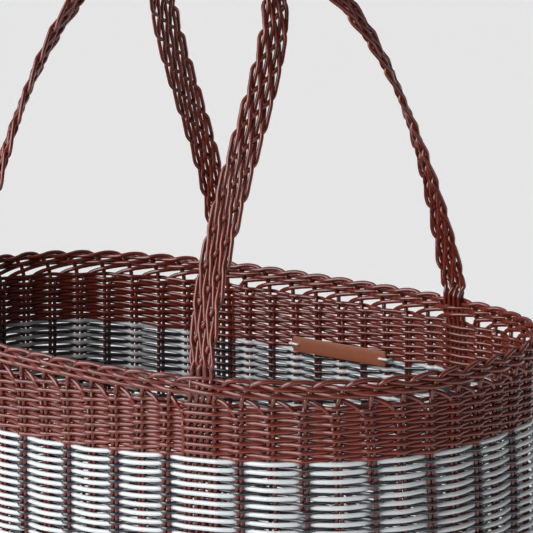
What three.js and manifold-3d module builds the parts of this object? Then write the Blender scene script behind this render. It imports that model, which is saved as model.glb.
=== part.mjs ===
// Market basket woven from round plastic cord: a full-sided body, an open row under a rolled border,
// two plaited strap handles whose legs run down inside the wall, and a blank leather tag.
// Millimetres, +Z up, origin under the middle of the base, +X along the basket, -Y its front.

import * as THREE from "three";
import { mergeVertices } from "three/addons/utils/BufferGeometryUtils.js";
import Module from "manifold-3d";

const wasm = await Module();
wasm.setup();

// Plan and height of the wall. Half sizes are to the middle of its thickness.
const BAND_HALF_LENGTH = 242; // at the lower edge of the brown upper band
const BAND_HALF_WIDTH = 153;
const BASE_HALF_LENGTH = 221;
const BASE_HALF_WIDTH = 142;
const PLAN_EXPONENT = 2.46; // 2 is an ellipse, more is squarer
const END_BULGE = 4; // the ends swell this much between the band and the base
const FLANK_BULGE = 1.7; // and the long sides this much
const BASE_TURN = 3; // the more, the lower the wall starts to draw in towards the base
const RIM_PULL_IN = 1.2; // the border draws the wall in
const WALL_HEIGHT = 240; // to the border's top, at the middle of a long side
const END_RISE = 6.6; // the ends stand this much higher
const RISE_HEIGHT = 130; // the rows run level at the base and take the whole rise here
const CORNER_RADIUS = 16; // outside, where the wall turns into the base
const BASE_RIBS = 11; // uprights each side of the middle one that cross the base
const RIB_FLAT = 10; // level width over each of them

// Cords and weave.
const CORD = 3; // upright cord
const WALL_THICKNESS = 8; // over an upright cord and the weft on both sides
const WAIST_THICKNESS = 5.6; // between two uprights
const WEFT_DIP = 1.4; // how far a face lies back where the weft passes on the other one
const COURSES = 9; // of the checked band, each for six rows of weft
const SLOTS = 60; // places for uprights round the rim
const LEG_SLOT = 5; // slots from the middle of a long side to a handle's leg
const LEG_SLOTS = [LEG_SLOT, SLOTS / 2 - LEG_SLOT, SLOTS / 2 + LEG_SLOT, SLOTS - LEG_SLOT];
const LEG_EXTRA = 0.5; // a leg's slot is this much wider than a slot
const BAND_STEPS = 2 * SLOTS; // sections round a band: at each upright and halfway between
const POST_SIDES = 5;

// Rows, down from the border's top.
const BORDER_HEIGHT = 12;
const BORDER_THICKNESS = 10;
const BORDER_LOBE = 0.1; // height of a scallop against the border's own radius
const WINDOW_HEIGHT = 4.5; // the open row that the uprights cross
const UPPER_BAND_HEIGHT = 39;
const LOWER_BAND_TOP = 34; // above the base

// Handles.
const STRAP_WIDTH = 21;
const STRAP_THICKNESS = 7.5;
const FOOT_WIDTH = 18.5; // where the strap leaves the border
const FOOT_LENGTH = 45; // over which the strap reaches its full width
const SCALLOP_PITCH = 22; // along the strap's edge
const SCALLOP_DEPTH = 0.8;
const ARCH_RISE = 262; // apex above the border
const STRAP_EDGE = 0.4; // half height of the strap's edge, and half width of its flat face, as shares
const STRAP_FACE = 0.7;
const FOOT_TURNS = [80, 55, 28]; // degrees round the foot at which it has a section
const LEG_CORDS = 5; // four that the strap is plaited from, and an upright beside them
const LEG_CORD_PITCH = 4.4;
const LEG_CORD_BEVEL = 0.55; // share of a leg cord's half size that its corner takes
const LEG_END = 20; // lower end of a leg, above the base

// How each strap bends by itself: a point on its way up, and how wide its crown is.
const FRONT_ARCH = { side: -1, kneeHalf: 85.3, kneeRise: 136, kneeIn: 35, crownHalf: 137, apexY: -1.5 };
const BACK_ARCH = { side: 1, kneeHalf: 88.3, kneeRise: 96, kneeIn: 2, crownHalf: 134.3, apexY: 21.5 };

// Tag, inside the back wall.
const TAG_LENGTH = 85;
const TAG_HEIGHT = 11.3;
const TAG_THICKNESS = 1.6;
const TAG_CORNER = 1.5;
const TAG_CENTRE_X = 2.4;
const TAG_DROP = 53.9; // below the border's top
const SLIT_LENGTH = 6.5;
const SLIT_HEIGHT = 2.6;
const SLIT_FROM_END = 4; // from the tag's end to the slit's outer end
const TIE_CORD = 2;
const TIE_PAST_END = 1.6; // clear of the tag's end
const TIE_BEND = 1.2; // radius of its corners

const GAP = 0.3; // between pieces that touch
const JOINT_GAP = 0.3; // under the round foot of a strap

const BAND_EDGE = WALL_HEIGHT - BORDER_HEIGHT - WINDOW_HEIGHT - UPPER_BAND_HEIGHT;
const UPPER_BAND_TOP = BAND_EDGE + UPPER_BAND_HEIGHT;
const LEG_WIDTH = LEG_CORDS * LEG_CORD_PITCH;

// Surfaces from points, and booleans.

function meshGeometry(points, triangles) {
  const flat = points.flatMap((p) => [p.x, p.y, p.z]);
  let volume = 0;
  for (const [a, b, c] of triangles) {
    volume += points[a].dot(points[b].clone().cross(points[c]));
  }
  const index = triangles.flatMap(([a, b, c]) => (volume > 0 ? [a, b, c] : [a, c, b]));
  const geometry = new THREE.BufferGeometry();
  geometry.setAttribute("position", new THREE.Float32BufferAttribute(flat, 3));
  geometry.setIndex(index);
  return geometry;
}

function quad(a, b, c, d) {
  return [
    [a, b, c],
    [a, c, d],
  ];
}

// Closed tube through sections of one size. It is capped at both ends, or runs round into itself.
function loft(sections, round = false) {
  const size = sections[0].length;
  const points = sections.flat();
  const triangles = [];
  const spans = round ? sections.length : sections.length - 1;
  for (let i = 0; i < spans; i++) {
    const next = (i + 1) % sections.length;
    for (let j = 0; j < size; j++) {
      const k = (j + 1) % size;
      triangles.push(...quad(i * size + j, next * size + j, next * size + k, i * size + k));
    }
  }
  if (round) return meshGeometry(points, triangles);
  for (const end of [0, sections.length - 1]) {
    const centre = points.length;
    const middle = new THREE.Vector3();
    sections[end].forEach((p) => middle.addScaledVector(p, 1 / size));
    points.push(middle);
    for (let j = 0; j < size; j++) {
      const edge = [end * size + j, end * size + ((j + 1) % size)];
      triangles.push(end ? [edge[1], edge[0], centre] : [edge[0], edge[1], centre]);
    }
  }
  return meshGeometry(points, triangles);
}

function solidOf(geometry) {
  const bare = geometry.clone();
  bare.deleteAttribute("normal");
  bare.deleteAttribute("uv");
  const merged = mergeVertices(bare, 1e-4);
  return new wasm.Manifold(
    new wasm.Mesh({
      numProp: 3,
      vertProperties: merged.attributes.position.array,
      triVerts: new Uint32Array(merged.index.array),
    }),
  );
}

function geometryOf(solid) {
  const mesh = solid.getMesh();
  const geometry = new THREE.BufferGeometry();
  geometry.setAttribute("position", new THREE.BufferAttribute(mesh.vertProperties, 3));
  geometry.setIndex(new THREE.BufferAttribute(mesh.triVerts, 1));
  return geometry;
}

function cut(geometry, cutters) {
  const solid = cutters.reduce((left, cutter) => left.subtract(solidOf(cutter)), solidOf(geometry));
  return geometryOf(solid);
}

// The wall's plan: a squared ellipse, with the slots at even steps along it.

function planPoint(angle) {
  const c = Math.cos(angle);
  const s = Math.sin(angle);
  const radius =
    (Math.abs(c / BAND_HALF_LENGTH) ** PLAN_EXPONENT + Math.abs(s / BAND_HALF_WIDTH) ** PLAN_EXPONENT) **
    (-1 / PLAN_EXPONENT);
  return new THREE.Vector2(radius * c, radius * s);
}

const PLAN_STEPS = 2880;
const planLengths = [0];
for (let i = 1; i <= PLAN_STEPS; i++) {
  const [a, b] = [i - 1, i].map((j) => planPoint((j / PLAN_STEPS) * 2 * Math.PI - Math.PI / 2));
  planLengths.push(planLengths[i - 1] + a.distanceTo(b));
}

// Length along the plan from the front's middle to a slot, in widths of a plain slot.
function slotDistance(slot) {
  const widened = LEG_SLOTS.map((leg) => THREE.MathUtils.clamp(slot - leg + 0.5, 0, 1) * LEG_EXTRA);
  return slot + widened.reduce((sum, extra) => sum + extra, 0);
}

// Plan coordinates at a slot, as shares of the half length and half width.
function planAt(slot) {
  const along = (slotDistance(slot) / slotDistance(SLOTS)) * planLengths[PLAN_STEPS];
  const next = Math.max(1, planLengths.findIndex((length) => length >= along - 1e-9));
  const share = (along - planLengths[next - 1]) / (planLengths[next] - planLengths[next - 1]);
  const point = planPoint(((next - 1 + share) / PLAN_STEPS) * 2 * Math.PI - Math.PI / 2);
  return new THREE.Vector2(point.x / BAND_HALF_LENGTH, point.y / BAND_HALF_WIDTH);
}

function halfSizes(z) {
  if (z >= BAND_EDGE) {
    const pull = (RIM_PULL_IN * (z - BAND_EDGE)) / (WALL_HEIGHT - BAND_EDGE);
    return [BAND_HALF_LENGTH - pull, BAND_HALF_WIDTH - pull];
  }
  const drop = (BAND_EDGE - z) / BAND_EDGE;
  const drawn = drop ** BASE_TURN;
  const swell = Math.sin(Math.PI * drop);
  return [
    THREE.MathUtils.lerp(BAND_HALF_LENGTH, BASE_HALF_LENGTH, drawn) + END_BULGE * swell,
    THREE.MathUtils.lerp(BAND_HALF_WIDTH, BASE_HALF_WIDTH, drawn) + FLANK_BULGE * swell,
  ];
}

// A place on the wall: its slot, its height on a long side, and how far out of the wall's middle.
function wallFrame(slot, z) {
  const [halfLength, halfWidth] = halfSizes(z);
  const plan = planAt(slot);
  const slope = (share, half) => (Math.sign(share) * Math.abs(share) ** (PLAN_EXPONENT - 1)) / half;
  const rise = END_RISE * Math.sin((Math.min(1, Math.max(0, z) / RISE_HEIGHT) * Math.PI) / 2);
  const out = new THREE.Vector3(slope(plan.x, halfLength), slope(plan.y, halfWidth), 0).normalize();
  return {
    point: new THREE.Vector3(halfLength * plan.x, halfWidth * plan.y, z + rise * plan.x ** 2),
    out,
    along: new THREE.Vector3(-out.y, out.x, 0),
  };
}

function wallPoint(slot, z, offset) {
  const { point, out } = wallFrame(slot, z);
  return point.addScaledVector(out, offset);
}

function evenLevels(bottom, top, levels) {
  return Array.from({ length: levels }, (_, i) => THREE.MathUtils.lerp(bottom, top, i / (levels - 1)));
}

// Ring of the wall with a closed profile of [side, inset, z] points: side is 1 outside and -1 inside,
// and inset is measured inwards from that face. Its faces swell at each upright.
function wallRing(profile) {
  const sections = [];
  for (let i = 0; i < BAND_STEPS; i++) {
    const half = (i % 2 ? WAIST_THICKNESS : WALL_THICKNESS) / 2;
    sections.push(profile.map(([side, inset, z]) => wallPoint(i / 2, z, side * half - inset)));
  }
  return loft(sections, true);
}

// Woven ring of the wall: at each upright its courses stand out on one face and lie back on the other,
// turn about from course to course and from upright to upright.
function wovenRing(bottom, top, courses) {
  const heights = evenLevels(bottom, top, courses + 1);
  const sections = [];
  for (let slot = 0; slot < SLOTS; slot++) {
    const [outer, inner] = [1, -1].map((side) =>
      heights.map((z, course) => {
        const standsOut = (slot + course) % 2 === (side > 0 ? 1 : 0);
        return wallPoint(slot, z, side * (WALL_THICKNESS / 2 - (standsOut ? 0 : WEFT_DIP)));
      }),
    );
    sections.push([...outer, ...inner.reverse()]);
  }
  return loft(sections, true);
}

// The wall's bands and the base.

function bandProfile(bottom, top) {
  return [[1, 0, bottom], [1, 0, top], [-1, 0, top], [-1, 0, bottom]];
}

// Quarter turn from the wall into the base.
function cornerProfile(top) {
  const inner = CORNER_RADIUS - WALL_THICKNESS;
  const bend = Math.SQRT1_2;
  return [
    [1, 0, top],
    [1, 0, CORNER_RADIUS],
    [1, CORNER_RADIUS * (1 - bend), CORNER_RADIUS * (1 - bend)],
    [1, CORNER_RADIUS, 0],
    [1, CORNER_RADIUS, WALL_THICKNESS],
    [-1, inner * (1 - bend), CORNER_RADIUS - inner * bend],
    [-1, 0, CORNER_RADIUS],
    [-1, 0, top],
  ];
}

// Section of the base along the basket: level over each upright that crosses it, drawn in between them.
function ribbedSection() {
  const hollow = (WALL_THICKNESS - WAIST_THICKNESS) / 2;
  const ribs = Array.from({ length: BASE_RIBS + 1 }, (_, slot) => wallPoint(slot, 0, 0).x);
  const edge = [];
  ribs.forEach((x, i) => {
    if (i) edge.push([(ribs[i - 1] + x) / 2, hollow], [x - RIB_FLAT / 2, 0]);
    edge.push([i < BASE_RIBS ? x + RIB_FLAT / 2 : BASE_HALF_LENGTH, 0]);
  });
  const low = [...edge.map(([x, z]) => [-x, z]).reverse(), ...edge];
  const high = low.map(([x, z]) => [x, WALL_THICKNESS - z]).reverse();
  return new THREE.Shape([...low, ...high].map(([x, z]) => new THREE.Vector2(x, z)));
}

function baseMat() {
  const rims = [0, WALL_THICKNESS].map((z) =>
    Array.from({ length: BAND_STEPS }, (_, i) => {
      const half = (i % 2 ? WAIST_THICKNESS : WALL_THICKNESS) / 2;
      const edge = wallPoint(i / 2, z, half - CORNER_RADIUS - GAP);
      return new THREE.Vector3(edge.x, edge.y, z);
    }),
  );
  const slab = new THREE.ExtrudeGeometry(ribbedSection(), { depth: 2 * BASE_HALF_WIDTH, bevelEnabled: false });
  slab.rotateX(Math.PI / 2).translate(0, BASE_HALF_WIDTH, 0);
  return geometryOf(solidOf(loft(rims)).intersect(solidOf(slab)));
}

// A handle's leg: cords side by side in the middle of the wall.
function legBar(slot, width, thickness, heights, lobes) {
  const outline = legOutline(width, thickness, lobes);
  const sections = heights.map((z) => {
    const { point, out, along } = wallFrame(slot, z);
    return outline.map(([x, y]) => point.clone().addScaledVector(along, x).addScaledVector(out, y));
  });
  return loft(sections);
}

// Outline of a row of touching cords, or a plain bar with no lobes.
function legOutline(width, thickness, lobes) {
  const half = thickness / 2;
  const outer = [];
  const count = Math.max(1, lobes);
  const pitch = width / count;
  const bevel = Math.min(half, pitch / 2) * LEG_CORD_BEVEL;
  for (let i = 0; i < count; i++) {
    const left = -width / 2 + i * pitch;
    if (lobes) outer.push([left, i ? half - bevel : bevel / 2]);
    outer.push([left + (lobes ? bevel : 0), half], [left + pitch - (lobes ? bevel : 0), half]);
  }
  if (lobes) outer.push([width / 2, bevel / 2]);
  return [...outer, ...outer.map(([x, y]) => [-x, -y])];
}

const rimAtLeg = wallFrame(LEG_SLOT, WALL_HEIGHT).point;
const PIVOT_Z = rimAtLeg.z + STRAP_THICKNESS / 2 + GAP + JOINT_GAP;
const LEG_TOP = PIVOT_Z - STRAP_THICKNESS / 2 - JOINT_GAP - (rimAtLeg.z - WALL_HEIGHT);

const legHeights = evenLevels(LEG_TOP, LEG_END, 5);

// Room for the legs, cut out of the wall and the border.
const legRooms = LEG_SLOTS.map((slot) => {
  const heights = [WALL_HEIGHT + BORDER_HEIGHT, ...legHeights, LEG_END - GAP];
  return legBar(slot, LEG_WIDTH + 2 * GAP, CORD + 2 * GAP, heights, 0);
});

// Rolled border on uprights that cross the open row.
function rimBorder() {
  const stepsPerSlot = 3;
  const around = 7;
  const middle = WALL_HEIGHT - BORDER_HEIGHT / 2;
  const sections = [];
  for (let i = 0; i < stepsPerSlot * SLOTS; i++) {
    const slot = i / stepsPerSlot;
    const section = [];
    for (let j = 0; j < around; j++) {
      const turn = (j / around) * 2 * Math.PI;
      const swell = 1 - BORDER_LOBE + BORDER_LOBE * Math.cos(2 * Math.PI * slot - turn);
      const z = middle + (BORDER_HEIGHT / 2) * swell * Math.sin(turn);
      section.push(wallPoint(slot, z, (BORDER_THICKNESS / 2) * swell * Math.cos(turn)));
    }
    sections.push(section);
  }
  let solid = solidOf(loft(sections, true));
  for (let slot = 0; slot < SLOTS; slot++) {
    if (LEG_SLOTS.includes(slot)) continue;
    const foot = wallPoint(slot, UPPER_BAND_TOP, 0);
    const head = wallPoint(slot, middle, 0);
    const height = head.z - foot.z - GAP;
    const post = new THREE.CylinderGeometry(CORD / 2, CORD / 2, height, POST_SIDES);
    post.rotateX(Math.PI / 2);
    post.translate(foot.x, foot.y, foot.z + GAP + height / 2);
    solid = solid.add(solidOf(post));
  }
  return cut(geometryOf(solid), legRooms);
}

// Handles: flat plaited straps that twist from the wall's plane at the foot to the arch's at the apex.

function strapFrame(arch, share) {
  const inward = -arch.side;
  const foot = new THREE.Vector3(rimAtLeg.x, arch.side * Math.abs(rimAtLeg.y), PIVOT_Z);
  const apexZ = rimAtLeg.z + ARCH_RISE;
  const knee = new THREE.Vector3(arch.kneeHalf, foot.y + inward * arch.kneeIn, rimAtLeg.z + arch.kneeRise);
  const crown = new THREE.Vector3(arch.crownHalf, arch.apexY, apexZ);
  const curve = new THREE.CubicBezierCurve3(foot, knee, crown, new THREE.Vector3(0, arch.apexY, apexZ));
  const point = curve.getPointAt(share);
  const tangent = curve.getTangentAt(share);
  const lean = crown.clone().sub(knee).setX(0).normalize();
  const archOut = new THREE.Vector3(point.x / rimAtLeg.x, 0, 0).addScaledVector(lean, share);
  archOut.addScaledVector(tangent, -archOut.dot(tangent)).normalize();
  const twist = (share * Math.PI) / 2;
  const out = new THREE.Vector3(0, arch.side, 0).multiplyScalar(Math.cos(twist));
  out.addScaledVector(archOut, Math.sin(twist));
  const across = tangent.clone().cross(out).normalize();
  const square = THREE.MathUtils.smoothstep(share * curve.getLength(), 0, FOOT_LENGTH);
  across.lerp(new THREE.Vector3(-arch.side, 0, 0), 1 - square).normalize();
  out.crossVectors(across, tangent).normalize();
  return { point, tangent, out, across, along: share * curve.getLength(), length: curve.getLength() };
}

// Right foot, apex, left foot: the left half mirrors the right.
function strapSections(arch) {
  const length = strapFrame(arch, 1).length;
  const steps = Math.round((2 * length) / SCALLOP_PITCH);
  const sections = [];
  for (let i = 0; i <= 2 * steps; i++) {
    const left = i > steps;
    const frame = strapFrame(arch, left ? 2 - i / steps : i / steps);
    const grown = THREE.MathUtils.smoothstep(frame.along, 0, FOOT_LENGTH);
    const half = THREE.MathUtils.lerp(FOOT_WIDTH, STRAP_WIDTH, grown) / 2;
    const scallops = i % 2 ? [-1, 1] : [1, -1];
    const edges = scallops.map((way) => half + way * grown * SCALLOP_DEPTH);
    sections.push(strapOutline(frame, edges, STRAP_THICKNESS / 2, left));
  }
  return sections;
}

function strapOutline(frame, [right, left], thick, mirrored) {
  const outline = [
    [right, STRAP_EDGE * thick],
    [STRAP_FACE * right, thick],
    [-STRAP_FACE * left, thick],
    [-left, STRAP_EDGE * thick],
    [-left, -STRAP_EDGE * thick],
    [-STRAP_FACE * left, -thick],
    [STRAP_FACE * right, -thick],
    [right, -STRAP_EDGE * thick],
  ];
  const points = outline.map(([x, y]) =>
    frame.point.clone().addScaledVector(frame.across, x).addScaledVector(frame.out, y),
  );
  if (mirrored) points.forEach((p) => p.setX(-p.x));
  return points;
}

// Round foot about the line through both feet, on which the strap bends.
function footSections(arch, mirrored) {
  const frame = strapFrame(arch, 0);
  const down = frame.tangent.clone().setX(0).normalize().negate();
  return FOOT_TURNS.map((degrees) => {
    const angle = THREE.MathUtils.degToRad(degrees);
    const radius = STRAP_THICKNESS / 2;
    const point = frame.point.clone().addScaledVector(down, radius * Math.sin(angle));
    const edges = [FOOT_WIDTH / 2, FOOT_WIDTH / 2];
    return strapOutline({ ...frame, point }, edges, radius * Math.cos(angle), mirrored);
  });
}

function strap(arch) {
  return loft([...footSections(arch, false), ...strapSections(arch), ...footSections(arch, true).reverse()]);
}

// Leather tag with a slit at each end, and the cords that tie it to the wall.

const TAG_Z = WALL_HEIGHT - TAG_DROP;
const slitCentre = TAG_LENGTH / 2 - SLIT_FROM_END - SLIT_LENGTH / 2;

// Just clear of the back wall's inner face, at the tag's height.
function innerY(x) {
  const [halfLength, halfWidth] = halfSizes(TAG_Z);
  const wall = halfWidth * (1 - Math.abs(x / halfLength) ** PLAN_EXPONENT) ** (1 / PLAN_EXPONENT);
  return wall - WALL_THICKNESS / 2 - GAP;
}

const tagBackY = Math.min(...[-1, 1].map((end) => innerY(TAG_CENTRE_X + (end * TAG_LENGTH) / 2)));

function roundedRectangle(width, height, radius) {
  const points = [];
  const stepsPerCorner = 3;
  for (const [corner, [x, y]] of [[1, -1], [1, 1], [-1, 1], [-1, -1]].entries()) {
    for (let i = 0; i <= stepsPerCorner; i++) {
      const angle = (corner - 1 + i / stepsPerCorner) * (Math.PI / 2);
      const centre = new THREE.Vector2(x * (width / 2 - radius), y * (height / 2 - radius));
      points.push(centre.add(new THREE.Vector2(Math.cos(angle), Math.sin(angle)).multiplyScalar(radius)));
    }
  }
  return points;
}

function leatherTag() {
  const shape = new THREE.Shape(roundedRectangle(TAG_LENGTH, TAG_HEIGHT, TAG_CORNER));
  for (const end of [-1, 1]) {
    const slit = roundedRectangle(SLIT_LENGTH, SLIT_HEIGHT, SLIT_HEIGHT / 2 - GAP);
    shape.holes.push(new THREE.Path(slit.map((p) => p.add(new THREE.Vector2(end * slitCentre, 0)))));
  }
  const geometry = new THREE.ExtrudeGeometry(shape, { depth: TAG_THICKNESS, bevelEnabled: false });
  geometry.rotateX(Math.PI / 2);
  return geometry.translate(TAG_CENTRE_X, tagBackY, TAG_Z);
}

// A cord out of the wall, through the slit, over the tag's end and back into the wall.
function tagTie(end) {
  const inner = TAG_CENTRE_X + end * (slitCentre + SLIT_LENGTH / 2 - TIE_CORD / 2 - GAP);
  const outer = TAG_CENTRE_X + end * (TAG_LENGTH / 2 + TIE_PAST_END + TIE_CORD / 2);
  const front = tagBackY - TAG_THICKNESS - TIE_CORD / 2 - GAP;
  const path = new THREE.CurvePath();
  const place = (x, y) => new THREE.Vector3(x, y, TAG_Z);
  const inside = [place(inner, innerY(inner)), place(inner, front + TIE_BEND)];
  const outside = [place(outer, front + TIE_BEND), place(outer, innerY(outer))];
  const over = [place(inner + end * TIE_BEND, front), place(outer - end * TIE_BEND, front)];
  path.add(new THREE.LineCurve3(...inside));
  path.add(new THREE.QuadraticBezierCurve3(inside[1], place(inner, front), over[0]));
  path.add(new THREE.LineCurve3(...over));
  path.add(new THREE.QuadraticBezierCurve3(over[1], place(outer, front), outside[0]));
  path.add(new THREE.LineCurve3(...outside));
  const section = new THREE.Shape().absarc(0, 0, TIE_CORD / 2, 0, 2 * Math.PI);
  return new THREE.ExtrudeGeometry(section, { extrudePath: path, steps: 12, curveSegments: 3 });
}

// Finishes.

function finish(color, roughness) {
  return new THREE.MeshStandardMaterial({ color, roughness, metalness: 0 });
}

const brownCord = () => finish(0x6e3228, 0.35);
const checkedCord = () => finish(0x9a9da1, 0.35);
const whiteCord = () => finish(0xe1e8eb, 0.35);
const tagLeather = () => finish(0x965234, 0.6);

function part(name, geometry, material) {
  geometry.computeVertexNormals();
  const mesh = new THREE.Mesh(geometry, material);
  mesh.name = name;
  return mesh;
}

// Assembly.

const body = new THREE.Group();
body.add(part("base_mat", baseMat(), brownCord()));
body.add(part("lower_band", cut(wallRing(cornerProfile(LOWER_BAND_TOP)), legRooms), brownCord()));
const checked = wovenRing(LOWER_BAND_TOP + GAP, BAND_EDGE, COURSES);
body.add(part("checked_band", cut(checked, legRooms), checkedCord()));
const upper = wallRing(bandProfile(BAND_EDGE + GAP, UPPER_BAND_TOP));
body.add(part("upper_band", cut(upper, legRooms), brownCord()));
body.add(part("rim_border", rimBorder(), brownCord()));
["front_right", "back_right", "back_left", "front_left"].forEach((place, i) => {
  const leg = legBar(LEG_SLOTS[i], LEG_WIDTH, CORD, legHeights, LEG_CORDS);
  body.add(part(`${place}_leg`, leg, brownCord()));
});
body.add(part("leather_tag", leatherTag(), tagLeather()));
body.add(part("tag_tie_left", tagTie(-1), whiteCord()));
body.add(part("tag_tie_right", tagTie(1), whiteCord()));

const handles = new THREE.Group();
handles.add(part("front_handle", strap(FRONT_ARCH), brownCord()));
handles.add(part("back_handle", strap(BACK_ARCH), brownCord()));

const basket = new THREE.Group();
basket.add(body, handles);

export default basket;
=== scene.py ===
import logging
import math
from dataclasses import dataclass, field, replace
from enum import Enum

import bmesh
import bpy
import numpy as np
from mathutils import Matrix, Vector


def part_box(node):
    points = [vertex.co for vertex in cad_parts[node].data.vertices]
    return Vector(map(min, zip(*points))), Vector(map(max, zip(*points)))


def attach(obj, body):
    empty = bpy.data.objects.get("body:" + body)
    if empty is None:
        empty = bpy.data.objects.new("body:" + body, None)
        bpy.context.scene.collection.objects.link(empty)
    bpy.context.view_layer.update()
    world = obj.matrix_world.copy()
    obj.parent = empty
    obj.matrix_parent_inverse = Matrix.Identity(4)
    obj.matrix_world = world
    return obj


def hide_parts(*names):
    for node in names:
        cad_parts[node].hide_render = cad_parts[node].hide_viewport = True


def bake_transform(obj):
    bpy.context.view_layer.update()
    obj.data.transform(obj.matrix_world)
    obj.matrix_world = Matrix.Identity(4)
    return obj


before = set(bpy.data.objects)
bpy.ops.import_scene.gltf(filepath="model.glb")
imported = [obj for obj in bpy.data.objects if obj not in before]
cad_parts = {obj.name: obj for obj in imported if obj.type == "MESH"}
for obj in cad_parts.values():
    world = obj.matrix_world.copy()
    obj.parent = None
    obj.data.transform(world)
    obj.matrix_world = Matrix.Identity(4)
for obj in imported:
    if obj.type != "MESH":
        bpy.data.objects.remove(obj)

LOG = logging.getLogger("market_basket")
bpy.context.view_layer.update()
MM = 0.001
TINY = 1e-12
TOUCH = 1e-6
CHANCE = np.random.default_rng(12)
Array = np.ndarray
# Points of a path or surface, and the outward direction at each
Traced = tuple[Array, Array]


def smoothstep(value: Array, low: float, high: float) -> Array:
    """Ease values from 0 at low to 1 at high."""
    share = np.clip((np.asarray(value, float) - low) / (high - low), 0.0, 1.0)
    return share * share * (3 - 2 * share)


def unit(vectors: Array) -> Array:
    """Vectors at length 1."""
    return vectors / np.maximum(np.linalg.norm(vectors, axis=-1, keepdims=True), TINY)


def cross_perp(vectors: Array, axis: Array) -> Array:
    """The part of each vector that is square to its axis, at length 1."""
    return unit(vectors - np.sum(vectors * axis, axis=-1, keepdims=True) * axis)


def at_distance(distance: Array, marks: Array, points: Array) -> Array:
    """Points of a line at distances along it, where the marks are its own points' distances."""
    return np.stack([np.interp(distance, marks, axis) for axis in points.T], -1)


def levels_down(top: float, pitch: float, count: int) -> list[float]:
    """Evenly spaced levels from the top down."""
    return [top - i * pitch for i in range(count)]


def rounded_path(knots: Array, steps: int) -> Array:
    """Smooth curve through knots of any dimension.

    Args:
        knots: Points that the curve passes through.
        steps: Points from one knot to the next.

    Returns:
        Points of the curve, the last knot included.
    """
    knots = np.asarray(knots, float)
    ends = np.vstack([2 * knots[0] - knots[1], knots, 2 * knots[-1] - knots[-2]])
    share = np.linspace(0, 1, steps, endpoint=False)[:, None]
    pieces = []
    for before, start, end, after in zip(ends, ends[1:], ends[2:], ends[3:]):
        slope_in = (end - before) / 2
        slope_out = (after - start) / 2
        square = share * share
        cube = square * share
        pieces.append(
            (2 * cube - 3 * square + 1) * start
            + (cube - 2 * square + share) * slope_in
            + (3 * square - 2 * cube) * end
            + (cube - square) * slope_out
        )
    return np.vstack(pieces + [knots[-1:]])


class Node(Enum):
    """CAD nodes that the pieces stand for."""

    BASE = "base_mat"
    LOWER = "lower_band"
    CHECKED = "checked_band"
    UPPER = "upper_band"
    RIM = "rim_border"
    TAG = "leather_tag"
    FRONT_HANDLE = "front_handle"
    BACK_HANDLE = "back_handle"


class Slot(Enum):
    """Material slots of the record."""

    BROWN = "brown_cord"
    CHECKED = "checked_cord"
    WHITE = "white_cord"
    STRAP = "strap_cord"
    LEATHER = "tag_leather"


class NodeSheet:
    """Shader nodes of one material or world."""

    def __init__(self, holder: bpy.types.Material | bpy.types.World, shader: str) -> None:
        """Open the nodes.

        Args:
            holder: The material or world.
            shader: Name of the node that all others lead to.
        """
        holder.use_nodes = True
        self.tree = holder.node_tree
        self.shader = self.tree.nodes[shader]

    def add(self, kind: str, inputs: dict | None = None, **settings: str) -> bpy.types.Node:
        """Add a node.

        Args:
            kind: The node's type, without the words that all types begin with.
            inputs: For each input a value, or the socket that feeds it.
            settings: The node's own properties.

        Returns:
            The new node.
        """
        node = self.tree.nodes.new(f"ShaderNode{kind}")
        for key, value in settings.items():
            setattr(node, key, value)
        self.feed(node, inputs or {})
        return node

    def feed(self, node: bpy.types.Node, inputs: dict) -> None:
        """Set the inputs of a node.

        Args:
            node: The node.
            inputs: For each input a value, or the socket that feeds it.
        """
        for key, value in inputs.items():
            if isinstance(value, bpy.types.NodeSocket):
                self.tree.links.new(value, node.inputs[key])
            else:
                node.inputs[key].default_value = value


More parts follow.
